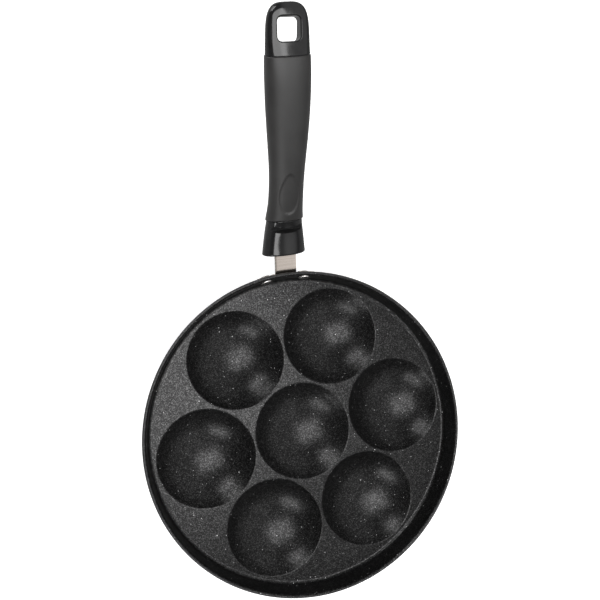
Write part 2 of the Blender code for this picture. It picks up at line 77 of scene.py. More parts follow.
# ------------------------------------------------------------------ mesh helpers
class Patches:
    """Collects points and faces in millimetres and welds equal points."""

    def __init__(self):
        self.co, self.faces, self.mats = [], [], []

    def add(self, points, faces, mat=0):
        base = len(self.co)
        self.co.extend([tuple(p) for p in points])
        for f in faces:
            self.faces.append([base + i for i in f])
            self.mats.append(mat)

    def mesh(self, name):
        co = np.array(self.co, float)
        key = np.round(co / 2e-5).astype(np.int64)
        _, first, inverse = np.unique(key, axis=0, return_index=True, return_inverse=True)
        inverse = inverse.reshape(-1)
        faces, mats = [], []
        for f, m in zip(self.faces, self.mats):
            g = []
            for i in f:
                j = int(inverse[i])
                if j not in g:
                    g.append(j)
            if len(g) > 2:
                faces.append(g)
                mats.append(m)
        me = bpy.data.meshes.new(name)
        me.from_pydata([tuple(p) for p in co[first] * MM], [], faces)
        me.polygons.foreach_set("material_index", mats)
        me.validate()
        me.update()
        weld(me)
        return me


def weld(me, distance=5e-7):
    """Joins points that coincide, so that neighbouring patches share their edges."""
    bm = bmesh.new()
    bm.from_mesh(me)
    bmesh.ops.remove_doubles(bm, verts=bm.verts, dist=distance)
    bm.to_mesh(me)
    bm.free()


def turn_outwards(me):
    bm = bmesh.new()
    bm.from_mesh(me)
    bmesh.ops.recalc_face_normals(bm, faces=bm.faces)
    if bm.calc_volume(signed=True) < 0:
        bmesh.ops.reverse_faces(bm, faces=bm.faces)
    bm.to_mesh(me)
    bm.free()


def put(name, me, mats, smooth=38):
    ob = bpy.data.objects.new(name, me)
    bpy.context.scene.collection.objects.link(ob)
    for m in mats:
        me.materials.append(m)
    me.shade_smooth()
    me.set_sharp_from_angle(angle=rad(smooth))
    return ob


def settle(ob, smooth=38):
    """Applies the object's modifiers and drops its cutters."""
    tools = [m.object for m in ob.modifiers if m.type == "BOOLEAN"]
    dg = bpy.context.evaluated_depsgraph_get()
    me = bpy.data.meshes.new_from_object(ob.evaluated_get(dg), depsgraph=dg)
    weld(me)
    ob.modifiers.clear()
    old = ob.data
    ob.data = me
    bpy.data.meshes.remove(old)
    for t in tools:
        bpy.data.objects.remove(t, do_unlink=True)
    me.shade_smooth()
    me.set_sharp_from_angle(angle=rad(smooth))
    return ob


def cut(ob, me):
    turn_outwards(me)
    tool = bpy.data.objects.new(me.name, me)
    bpy.context.scene.collection.objects.link(tool)
    tool.hide_render = True
    tool.display_type = "WIRE"
    mod = ob.modifiers.new("cut_" + me.name, "BOOLEAN")
    mod.operation, mod.object, mod.solver = "DIFFERENCE", tool, "EXACT"


def grid_faces(rows, count, closed=True):
    """Quads between rows of count points each."""
    out = []
    last = count if closed else count - 1
    for j in range(rows - 1):
        for k in range(last):
            a, b = j * count + k, j * count + (k + 1) % count
            out.append((a, b, b + count, a + count))
    return out


def arc(cx, cz, r, a0, a1, n):
    return [(cx + r * math.cos(rad(a0 + (a1 - a0) * k / n)), cz + r * math.sin(rad(a0 + (a1 - a0) * k / n))) for k in range(n + 1)]


def line_points(p, q, n):
    return [(p[0] + (q[0] - p[0]) * k / n, p[1] + (q[1] - p[1]) * k / n) for k in range(n + 1)]


def turned(name, profile, count, matrix=None):
    """Closed solid turned about Z from an open (r, z) profile that starts and ends on the axis."""
    pa = Patches()
    rows = []
    for r, z in profile:
        rows += [(r * math.cos(2 * math.pi * k / count), r * math.sin(2 * math.pi * k / count), z) for k in range(count)]
    if matrix is not None:
        rows = [tuple(matrix @ Vector(p)) for p in rows]
    pa.add(rows, grid_faces(len(profile), count))
    me = pa.mesh(name)
    turn_outwards(me)
    return me


def frame_matrix(origin, x_dir, y_dir, z_dir):
    m = Matrix.Identity(4)
    for i, d in enumerate((x_dir, y_dir, z_dir)):
        m.col[i][:3] = d[:]
    m.translation = Vector(origin)
    return m


def rounded_rect(w, l, r, corner=10, side=8):
    """Outline of a rounded rectangle, counter-clockwise, starting on the right side."""
    out = []
    hx, hy = w / 2 - r, l / 2 - r
    for cx, cy, a0, run in ((hx, hy, 0, hx), (-hx, hy, 90, hy), (-hx, -hy, 180, hx), (hx, -hy, 270, hy)):
        for k in range(corner + 1):
            t = rad(a0 + 90 * k / corner)
            out.append((cx + r * math.cos(t), cy + r * math.sin(t)))
        t = rad(a0 + 90)
        p = (cx + r * math.cos(t), cy + r * math.sin(t))
        d = (-math.sin(t), math.cos(t))
        for k in range(1, side):
            out.append((p[0] + d[0] * 2 * run * k / side, p[1] + d[1] * 2 * run * k / side))
    return out


# ------------------------------------------------------------------ materials
class Nodes:
    def __init__(self, name):
        self.mat = bpy.data.materials.new(name)
        self.mat.use_nodes = True
        self.tree = self.mat.node_tree
        self.bsdf = self.tree.nodes["Principled BSDF"]
        self.coord = self.new("ShaderNodeTexCoord").outputs["Object"]

    def new(self, kind, **values):
        n = self.tree.nodes.new(kind)
        for k, v in values.items():
            setattr(n, k, v)
        return n

    def link(self, a, b):
        self.tree.links.new(a, b)

    def set(self, **values):
        for k, v in values.items():
            self.bsdf.inputs[k.replace("_", " ")].default_value = v

    def stretch(self, scale, vector=None, turn=(0, 0, 0)):
        n = self.new("ShaderNodeMapping")
        n.inputs["Scale"].default_value = scale
        n.inputs["Rotation"].default_value = turn
        self.link(vector or self.coord, n.inputs["Vector"])
        return n.outputs["Vector"]

    def noise(self, size_mm, detail=2.0, rough=0.5, vector=None):
        n = self.new("ShaderNodeTexNoise")
        n.inputs["Scale"].default_value = 1000.0 / size_mm
        n.inputs["Detail"].default_value = detail
        n.inputs["Roughness"].default_value = rough
        self.link(vector or self.coord, n.inputs["Vector"])
        return n.outputs["Fac"]

    def voronoi(self, size_mm, feature="F1", vector=None):
        n = self.new("ShaderNodeTexVoronoi", feature=feature)
        n.inputs["Scale"].default_value = 1000.0 / size_mm
        self.link(vector or self.coord, n.inputs["Vector"])
        return n

    def ramp(self, fac, *stops, interpolation="LINEAR"):
        n = self.new("ShaderNodeValToRGB")
        n.color_ramp.interpolation = interpolation
        e = n.color_ramp.elements
        while len(e) < len(stops):
            e.new(0.5)
        for el, (pos, col) in zip(e, stops):
            el.position = pos
            el.color = (col, col, col, 1) if isinstance(col, (int, float)) else (*col, 1)
        self.link(fac, n.inputs["Fac"])
        return n.outputs["Color"]

    def math(self, op, a, b=None, c=None, clamp=False):
        n = self.new("ShaderNodeMath", operation=op, use_clamp=clamp)
        for i, v in enumerate((a, b, c)):
            if v is None:
                continue
            if isinstance(v, (int, float)):
                n.inputs[i].default_value = v
            else:
                self.link(v, n.inputs[i])
        return n.outputs[0]

    def mix(self, fac, a, b):
        n = self.new("ShaderNodeMix", data_type="RGBA")
        for v, i in ((fac, 0), (a, 6), (b, 7)):
            if isinstance(v, (int, float)):
                n.inputs[i].default_value = v if i == 0 else (v, v, v, 1)
            elif isinstance(v, tuple):
                n.inputs[i].default_value = (*v, 1)
            else:
                self.link(v, n.inputs[i])
        return n.outputs[2]

    def bump(self, height, strength, distance_mm, normal=None):
        n = self.new("ShaderNodeBump")
        n.inputs["Strength"].default_value = strength
        n.inputs["Distance"].default_value = distance_mm * MM
        self.link(height, n.inputs["Height"])
        if normal is not None:
            self.link(normal, n.inputs["Normal"])
        return n.outputs["Normal"]

    def axis(self, i, vector=None):
        n = self.new("ShaderNodeSeparateXYZ")
        self.link(vector or self.coord, n.inputs[0])
        return n.outputs[i]


def specks(n, size_mm, share, radius):
    """White dots: one cell in every 1/share carries a dot of about radius cells."""
    v = n.voronoi(size_mm)
    pick = n.axis(0, v.outputs["Color"])
    big = n.axis(1, v.outputs["Color"])
    on = n.math("GREATER_THAN", pick, 1.0 - share)
    r = n.math("MULTIPLY_ADD", big, radius * 0.7, radius * 0.5)
    edge = n.math("SUBTRACT", r, v.outputs["Distance"])
    dot = n.math("MULTIPLY", edge, 1.0 / (radius * 0.35), clamp=True)
    return n.math("MULTIPLY", dot, on)


def coating_material():
    """Non-stick coating: near-black and semi-matt, full of fine mineral flakes, with sparse light specks."""
    n = Nodes("nonstick_coating")
    cell = n.voronoi(0.56)
    tone = n.axis(0, cell.outputs["Color"])
    round_off = n.math("MULTIPLY_ADD", cell.outputs["Distance"], -1.5, 1.45, clamp=True)
    flake = n.math("MULTIPLY", n.math("POWER", tone, 2.7), round_off)
    grain = n.noise(0.7, 3.0, 0.65)
    soft = n.noise(9.0, 3.0, 0.5)
    level = n.math("MULTIPLY_ADD", flake, 0.070, 0.0074)
    level = n.math("MULTIPLY", level, n.math("MULTIPLY_ADD", grain, 0.8, 0.6))
    base = n.mix(level, (0.0, 0.0, 0.0), (1.0, 0.995, 1.0))
    mid = specks(n, 1.9, 0.16, 0.17)
    fine = n.math("MULTIPLY", specks(n, 2.7, 0.38, 0.105), 0.92)
    coarse = n.math("MAXIMUM", specks(n, 4.6, 0.26, 0.080), fine)
    tint = n.mix(n.math("MULTIPLY", mid, 0.10), base, (0.62, 0.62, 0.625))
    n.link(n.mix(n.math("MULTIPLY", coarse, 0.80), tint, (0.80, 0.80, 0.81)), n.bsdf.inputs["Base Color"])
    n.link(n.math("MULTIPLY_ADD", coarse, -0.6, 0.72), n.bsdf.inputs["Metallic"])
    rough = n.math("MULTIPLY_ADD", soft, 0.04, 0.275)
    n.link(n.math("ADD", rough, n.math("MULTIPLY", coarse, 0.25)), n.bsdf.inputs["Roughness"])
    b = n.bump(grain, 0.30, 0.012)
    b = n.bump(flake, 0.25, 0.015, b)
    b = n.bump(coarse, 0.5, 0.03, b)
    n.link(b, n.bsdf.inputs["Normal"])
    n.set(IOR=1.35)
    return n.mat


def outer_material():
    """Outside of the pan: the plain black high-temperature finish, a little smoother and without specks."""
    n = Nodes("outer_finish")
    grain = n.noise(0.45, 2.0, 0.5)
    cloud = n.noise(22.0, 3.0, 0.55)
    base = n.ramp(grain, (0.30, (0.008, 0.008, 0.0085)), (0.75, (0.020, 0.020, 0.021)))
    n.link(base, n.bsdf.inputs["Base Color"])
    rough = n.math("MULTIPLY_ADD", cloud, 0.16, 0.30)
    n.link(n.math("ADD", rough, n.math("MULTIPLY", grain, 0.08)), n.bsdf.inputs["Roughness"])
    n.link(n.bump(grain, 0.35, 0.02), n.bsdf.inputs["Normal"])
    n.set(Metallic=0.0, IOR=1.43)
    return n.mat


def ground_material(centres):
    """Bare aluminium of the ground flats: fine turned rings round each well's axis, with handling marks."""
    n = Nodes("ground_aluminium")
    x, y = n.axis(0), n.axis(1)
    near = None
    for cx, cy in centres:
        dx = n.math("SUBTRACT", x, cx * MM)
        dy = n.math("SUBTRACT", y, cy * MM)
        d = n.math("SQRT", n.math("ADD", n.math("MULTIPLY", dx, dx), n.math("MULTIPLY", dy, dy)))
        near = d if near is None else n.math("MINIMUM", near, d)
    rings = n.math("SINE", n.math("MULTIPLY", near, 2 * math.pi / (0.42 * MM)))
    patchy = n.noise(2.2, 3.0, 0.6)
    tone = n.math("MULTIPLY_ADD", rings, 0.06, 0.5)
    tone = n.math("ADD", tone, n.math("MULTIPLY", patchy, 0.18))
    n.link(n.ramp(tone, (0.30, (0.42, 0.42, 0.43)), (0.85, (0.70, 0.69, 0.68))), n.bsdf.inputs["Base Color"])
    n.link(n.math("MULTIPLY_ADD", patchy, 0.18, 0.26), n.bsdf.inputs["Roughness"])
    n.link(n.bump(rings, 0.35, 0.012), n.bsdf.inputs["Normal"])
    n.set(Metallic=1.0)
    return n.mat


def steel_material():
    """Satin strap: fine lines across the strap and a faint warm tone."""
    n = Nodes("satin_steel")
    lines = n.noise(0.16, 3.0, 0.65, n.stretch((0.012, 1.0, 1.0)))
    wide = n.noise(0.9, 2.0, 0.5, n.stretch((0.02, 1.0, 1.0)))
    cloud = n.noise(7.0, 3.0, 0.5)
    tone = n.math("ADD", n.math("MULTIPLY", lines, 0.55), n.math("MULTIPLY", wide, 0.45))
    n.link(n.ramp(tone, (0.32, (0.34, 0.300, 0.268)), (0.66, (0.455, 0.405, 0.364))), n.bsdf.inputs["Base Color"])
    n.link(n.math("ADD", n.math("MULTIPLY_ADD", lines, 0.12, 0.11), n.math("MULTIPLY", cloud, 0.06)), n.bsdf.inputs["Roughness"])
    n.link(n.bump(tone, 0.16, 0.012), n.bsdf.inputs["Normal"])
    n.set(Metallic=1.0)
    return n.mat


def rivet_material():
    """Pressed aluminium rivet: bright, slightly cloudy, with tiny pits."""
    n = Nodes("rivet_aluminium")
    cloud = n.noise(1.6, 4.0, 0.6)
    fine = n.noise(0.22, 2.0, 0.5)
    n.link(n.ramp(cloud, (0.30, (0.50, 0.48, 0.468)), (0.72, (0.67, 0.65, 0.636))), n.bsdf.inputs["Base Color"])
    n.link(n.math("MULTIPLY_ADD", cloud, 0.14, 0.16), n.bsdf.inputs["Roughness"])
    n.link(n.bump(fine, 0.20, 0.008), n.bsdf.inputs["Normal"])
    n.set(Metallic=1.0)
    return n.mat


def gloss_material():
    """Polished black moulding, with the faint waviness and hazing of a handled plastic."""
    n = Nodes("gloss_plastic")
    haze = n.noise(5.0, 4.0, 0.6)
    wave = n.noise(6.0, 1.0, 0.4)
    fine = n.noise(0.35, 2.0, 0.5)
    n.link(n.ramp(haze, (0.25, (0.0052, 0.0052, 0.0054)), (0.80, (0.0098, 0.0098, 0.0101))), n.bsdf.inputs["Base Color"])
    n.link(n.math("MULTIPLY_ADD", haze, 0.08, 0.075), n.bsdf.inputs["Roughness"])
    b = n.bump(wave, 0.35, 0.05)
    b = n.bump(fine, 0.10, 0.004, b)
    n.link(b, n.bsdf.inputs["Normal"])
    n.set(Metallic=0.0, IOR=1.42)
    return n.mat


def shade_black_material():
    """Floor and walls of the cross groove, also the hanging hole's upper edge: the black moulding left unpolished, its
    colour painted darker than the polished moulding as shade in these hollows.
    """
    n = Nodes("painted_shade_plastic")
    grain = n.noise(0.4, 2.0, 0.5)
    # colour darker than the polished moulding: painted shade for the groove and the hole's upper edge
    n.link(n.ramp(grain, (0.30, (0.0030, 0.0030, 0.0031)), (0.75, (0.0055, 0.0055, 0.0056))), n.bsdf.inputs["Base Color"])
    n.link(n.math("MULTIPLY_ADD", grain, 0.15, 0.60), n.bsdf.inputs["Roughness"])
    n.link(n.bump(grain, 0.3, 0.01), n.bsdf.inputs["Normal"])
    n.set(Metallic=0.0, IOR=1.30)
    return n.mat


def grip_material():
    """Soft-touch sleeve: matt charcoal elastomer with a very fine moulded grain."""
    n = Nodes("soft_touch")
    grain = n.noise(0.32, 2.0, 0.55)
    cloud = n.noise(14.0, 4.0, 0.55)
    mixed = n.math("ADD", n.math("MULTIPLY", grain, 0.45), n.math("MULTIPLY", cloud, 0.55))
    n.link(n.ramp(mixed, (0.32, (0.0105, 0.0101, 0.0099)), (0.68, (0.0180, 0.0174, 0.0171))), n.bsdf.inputs["Base Color"])
    n.link(n.math("MULTIPLY_ADD", cloud, 0.10, 0.42), n.bsdf.inputs["Roughness"])
    n.link(n.bump(grain, 0.5, 0.02), n.bsdf.inputs["Normal"])
    n.set(Metallic=0.0, IOR=1.45, Sheen_Weight=0.05, Sheen_Roughness=0.4)
    return n.mat


def zinc_material(name, light, dark, rough):
    """Small fastener steel: plated, a little mottled, with turned lines."""
    n = Nodes(name)
    cloud = n.noise(1.4, 4.0, 0.6)
    fine = n.noise(0.18, 2.0, 0.5)
    n.link(n.ramp(cloud, (0.28, dark), (0.74, light)), n.bsdf.inputs["Base Color"])
    n.link(n.math("MULTIPLY_ADD", cloud, 0.18, rough), n.bsdf.inputs["Roughness"])
    n.link(n.bump(fine, 0.3, 0.01), n.bsdf.inputs["Normal"])
    n.set(Metallic=1.0)
    return n.mat


# ------------------------------------------------------------------ pan body
CENTRES = [(0.0, 0.0)] + [(WELL_RING_R * math.cos(WELL_PHASE + rad(60 * k)), WELL_RING_R * math.sin(WELL_PHASE + rad(60 * k))) for k in range(6)]
TAN = math.tan(DRAFT)
WELL_SPHERE = (WELL_R ** 2 + WELL_DEPTH ** 2) / (2 * WELL_DEPTH)
WELL_CENTRE = PLATE_Z - WELL_DEPTH + WELL_SPHERE
DOME_SPHERE = (DOME_R ** 2 + DOME_DROP ** 2) / (2 * DOME_DROP)
DOME_CENTRE = -GROUND_CUT + DOME_SPHERE
FLAT_R = math.sqrt(DOME_SPHERE ** 2 - DOME_CENTRE ** 2)
BELOW_Z = PLATE_Z - PLATE_T


def inner_r(z):
    return WALL_FOOT_R + (z - PLATE_Z - 2.5) * TAN


def outer_r(z):
    return inner_r(z) + WALL_T


def rim_profile():
    """Wall section, from the underside of the plate round the bead to the plate's upper face."""
    cd, sd = math.cos(DRAFT), math.sin(DRAFT)
    deg = math.degrees
    out = []
    # rounded foot outside
    rb = 3.6
    fc = (outer_r(BELOW_Z + rb) - rb / cd, BELOW_Z + rb)
    out.append((fc[0] - 0.2, BELOW_Z))
    foot = arc(*fc, rb, -90, -deg(DRAFT), 9)
    out += foot
    # bead: a small roll standing out from the wall
    bead, br, fr = (118.75, RIM_TOP - 1.25), 1.25, 1.0
    p0 = Vector((outer_r(PLATE_Z + 2.5), PLATE_Z + 2.5))
    w, n = Vector((sd, cd)), Vector((cd, -sd))
    f0 = p0 + n * fr
    d = Vector(bead) - f0
    s = d.dot(w) - math.sqrt((br + fr) ** 2 - d.dot(n) ** 2)
    fillet = f0 + w * s
    to_bead = math.degrees(math.atan2(bead[1] - fillet.y, bead[0] - fillet.x))
    under = arc(fillet.x, fillet.y, fr, 180 - deg(DRAFT), to_bead, 5)
    out += line_points((foot[-1][0] + sd * 0.2, foot[-1][1] + cd * 0.2), (under[0][0] - sd * 0.2, under[0][1] - cd * 0.2), 8)
    out += under
    # inner side of the bead runs into the wall through a wider arc
    r2 = 2.2
    q0 = Vector((inner_r(PLATE_Z + 2.5), PLATE_Z + 2.5))
    gap = (Vector(bead) - q0).dot(n)
    side = r2 - gap
    down = math.sqrt((r2 - br) ** 2 - side ** 2)
    c2 = Vector(bead) + n * side - w * down
    turn = math.degrees(math.atan2(bead[1] - c2.y, bead[0] - c2.x))
    out += arc(*bead, br, to_bead - 180 + 6, turn, 22)
    shoulder = arc(c2.x, c2.y, r2, turn + 4, 180 - deg(DRAFT), 6)
    out += shoulder
    # inner wall and the fillet down to the plate
    cc = (inner_r(PLATE_Z + CORNER_R) - CORNER_R / cd, PLATE_Z + CORNER_R)
    corner = arc(*cc, CORNER_R, -deg(DRAFT), -90, 9)
    out += line_points((shoulder[-1][0] - sd * 0.2, shoulder[-1][1] - cd * 0.2), (corner[0][0] + sd * 0.2, corner[0][1] + cd * 0.2), 9)
    out += corner
    out.append((cc[0] - 0.18, PLATE_Z))
    return out


def well_profile():
    """Radius and height from the well's centre across its rounded edge to the plate."""
    e = WELL_EDGE
    rc = math.sqrt((WELL_SPHERE + e) ** 2 - (WELL_CENTRE - PLATE_Z + e) ** 2)
    rt = rc * WELL_SPHERE / (WELL_SPHERE + e)
    out = []
    for k in range(1, 24):
        r = (rt - 0.15) * k / 23
        out.append((r, WELL_CENTRE - math.sqrt(WELL_SPHERE ** 2 - r * r)))
    start = 90 + math.degrees(math.asin(rt / WELL_SPHERE))
    out += arc(rc, PLATE_Z - e, e, start, 90, 10)
    out.append((rc + 0.15, PLATE_Z))
    return out


def under_height(x, y):
    """Underside: plate and seven domes run together smoothly, and the domes are ground flat at zero."""
    k = 0.45
    zs = [BELOW_Z]
    for cx, cy in CENTRES:
        d2 = (x - cx) ** 2 + (y - cy) ** 2
        if d2 < 44.0 ** 2:
            zs.append(DOME_CENTRE - math.sqrt(DOME_SPHERE ** 2 - d2))
    m = min(zs)
    return max(m - k * math.log(sum(math.exp(-(z - m) / k) for z in zs)), 0.0)


def triangulate(loops, extra, keep):
    """Triangles between closed loops of (x, y) points and extra inner points; keep(x, y) picks by centroid."""
    pts, edges = [], []
    for loop in loops:
        base = len(pts)
        pts += [Vector(p) for p in loop]
        edges += [(base + i, base + (i + 1) % len(loop)) for i in range(len(loop))]
    pts += [Vector(p) for p in extra]
    verts, _, faces, _, _, _ = delaunay_2d_cdt(pts, edges, [], 0, 1e-7)
    good = []
    for f in faces:
        x = sum(verts[i].x for i in f) / len(f)
        y = sum(verts[i].y for i in f) / len(f)
        if keep(x, y):
            good.append(tuple(f))
    return [(v.x, v.y) for v in verts], good


def circle(cx, cy, r, n, a0=0.0):
    return [(cx + r * math.cos(a0 + 2 * math.pi * k / n), cy + r * math.sin(a0 + 2 * math.pi * k / n)) for k in range(n)]


def nearest_centre(x, y):
    return min(math.hypot(x - cx, y - cy) for cx, cy in CENTRES)


def build_pan(mats):
    pa = Patches()
    rim_n, well_n, dome_n = 384, 120, 96
    prof = rim_profile()
    rows = []
    for r, z in prof:
        rows += [(x, y, z) for x, y in circle(0, 0, r, rim_n)]
    top = max(range(len(prof)), key=lambda i: prof[i][1])
    faces = grid_faces(len(prof), rim_n)
    split = top * rim_n                         # outside finish up to the crown of the bead
    pa.add(rows, faces[:split], 1)
    pa.add(rows, faces[split:], 0)

    wp = well_profile()
    guard = wp[-1][0]
    for cx, cy in CENTRES:
        pts = [(cx, cy, PLATE_Z - WELL_DEPTH)]
        for r, z in wp:
            pts += [(x, y, z) for x, y in circle(cx, cy, r, well_n)]
        fs = [(0, 1 + k, 1 + (k + 1) % well_n) for k in range(well_n)]
        fs += [tuple(1 + i for i in f) for f in grid_faces(len(wp), well_n)]
        pa.add(pts, fs, 0)
    edge = prof[-1][0]
    grid = []
    step = 3.0
    for j in range(-50, 51):
        for i in range(-50, 51):
            x, y = (i + 0.5 * (j % 2)) * step, j * step * 0.866
            if math.hypot(x, y) < edge - 1.2 and nearest_centre(x, y) > guard + 1.2:
                grid.append((x, y))
    loops = [circle(0, 0, edge, rim_n)] + [circle(cx, cy, guard, well_n) for cx, cy in CENTRES]
    vs, fs = triangulate(loops, grid, lambda x, y: nearest_centre(x, y) > guard * math.cos(math.pi / well_n) - 0.001)
    pa.add([(x, y, PLATE_Z) for x, y in vs], fs, 0)

    # underside
    dome_r = [FLAT_R * f for f in (0.25, 0.5, 0.75, 0.97, 1.0)] + [FLAT_R + 0.25] + [FLAT_R + 0.25 + (34.9 - FLAT_R) * k / 14 for k in range(1, 15)]
    for cx, cy in CENTRES:
        pts = [(cx, cy, 0.0)]
        for r in dome_r:
            for x, y in circle(cx, cy, r, dome_n):
                pts.append((x, y, 0.0 if r <= FLAT_R + 1e-9 else under_height(x, y)))
        fs = [(0, 1 + k, 1 + (k + 1) % dome_n) for k in range(dome_n)]
        body = [tuple(1 + i for i in f) for f in grid_faces(len(dome_r), dome_n)]
        flat = fs + body[:4 * dome_n]
        pa.add(pts, flat, 2)
        pa.add(pts, body[4 * dome_n:], 1)
    last = dome_r[-1]
    bottom_edge = prof[0][0]
    extra = []
    for cx, cy in CENTRES:
        for r in (35.6, 36.1, 36.55, 36.95, 37.3, 37.8, 38.4, 39.2):
            for x, y in circle(cx, cy, r, 108, 0.01):
                if math.hypot(x, y) < bottom_edge - 0.4 and abs(nearest_centre(x, y) - r) < 1e-6:
                    near = sorted(math.hypot(x - a, y - b) for a, b in CENTRES)
                    if near[1] - near[0] > 0.5:
                        extra.append((x, y))
    for j in range(-60, 61):
        for i in range(-60, 61):
            x, y = (i + 0.5 * (j % 2)) * 2.4, j * 2.4 * 0.866
            if math.hypot(x, y) < bottom_edge - 1.2 and nearest_centre(x, y) > 40.3:
                extra.append((x, y))
    loops = [circle(0, 0, bottom_edge, rim_n)] + [circle(cx, cy, last, dome_n) for cx, cy in CENTRES]
    vs, fs = triangulate(loops, extra, lambda x, y: nearest_centre(x, y) > last * math.cos(math.pi / dome_n) - 0.001)
    pts = [(x, y, BELOW_Z if math.hypot(x, y) > bottom_edge - 0.01 else under_height(x, y)) for x, y in vs]
    pa.add(pts, fs, 1)

    me = pa.mesh("pan_fine")
    turn_outwards(me)
    ob = put("pan_shell", me, mats)
    for name, m in RIVETS.items():
        cut(ob, turned("bore_" + name, [(0, -5), (RIVET_SHANK_R + 0.12, -5), (RIVET_SHANK_R + 0.12, 7), (0, 7)], 32, m))
    return settle(ob)


# ------------------------------------------------------------------ rivet frames and bracket
CD, SD = math.cos(DRAFT), math.sin(DRAFT)
RIVETS = {}
for rivet_name, sign in (("rivet_left", 1), ("rivet_right", -1)):
    ang = RIVET_MID + sign * RIVET_OFFSET
    radial, tangent = Vector((math.cos(ang), math.sin(ang), 0)), Vector((-math.sin(ang), math.cos(ang), 0))
    axis = radial * CD - Vector((0, 0, 1)) * SD
    foot_at = radial * inner_r(RIVET_Z) + Vector((0, 0, RIVET_Z))
    RIVETS[rivet_name] = frame_matrix(foot_at, tangent, axis.cross(tangent), axis)
GRIP_LEN = WALL_T * CD + GAP + WING_T


def back_r(z):
    return outer_r(z) + GAP / CD


TANG_DIR = Vector((0, math.cos(TANG_SLOPE), math.sin(TANG_SLOPE)))
TANG_UP = Vector((0, -math.sin(TANG_SLOPE), math.cos(TANG_SLOPE)))
W_DIR = Vector((0, SD, CD))
WALL_OUT = Vector((0, CD, -SD))
TURN = (math.pi / 2 - DRAFT) - TANG_SLOPE
W0 = Vector((0, back_r(BRACKET_LOW_Z), BRACKET_LOW_Z))
T0 = Vector((0, TANG_REF_Y, TANG_REF_Z))
det = W_DIR.y * (-TANG_DIR.z) - (-TANG_DIR.y) * W_DIR.z
rhs = T0 - W0
BEND_CORNER = W0 + W_DIR * ((rhs.y * (-TANG_DIR.z) - (-TANG_DIR.y) * rhs.z) / det)
BACK_OFF = BEND_R * math.tan(TURN / 2)
BEND_START = BEND_CORNER - W_DIR * BACK_OFF
BEND_END = BEND_CORNER + TANG_DIR * BACK_OFF
BEND_CENTRE = BEND_START + Vector((0, W_DIR.z, -W_DIR.y)) * BEND_R
TANG_END = T0 + TANG_DIR * ((TANG_END_Y - TANG_REF_Y) / math.cos(TANG_SLOPE))
SCREW_MID = T0 + TANG_DIR * ((SCREW_Y - TANG_REF_Y) / math.cos(TANG_SLOPE)) - TANG_UP * (BRACKET_T / 2)
SCREW_M = frame_matrix(SCREW_MID, Vector((1, 0, 0)), TANG_DIR, TANG_UP)


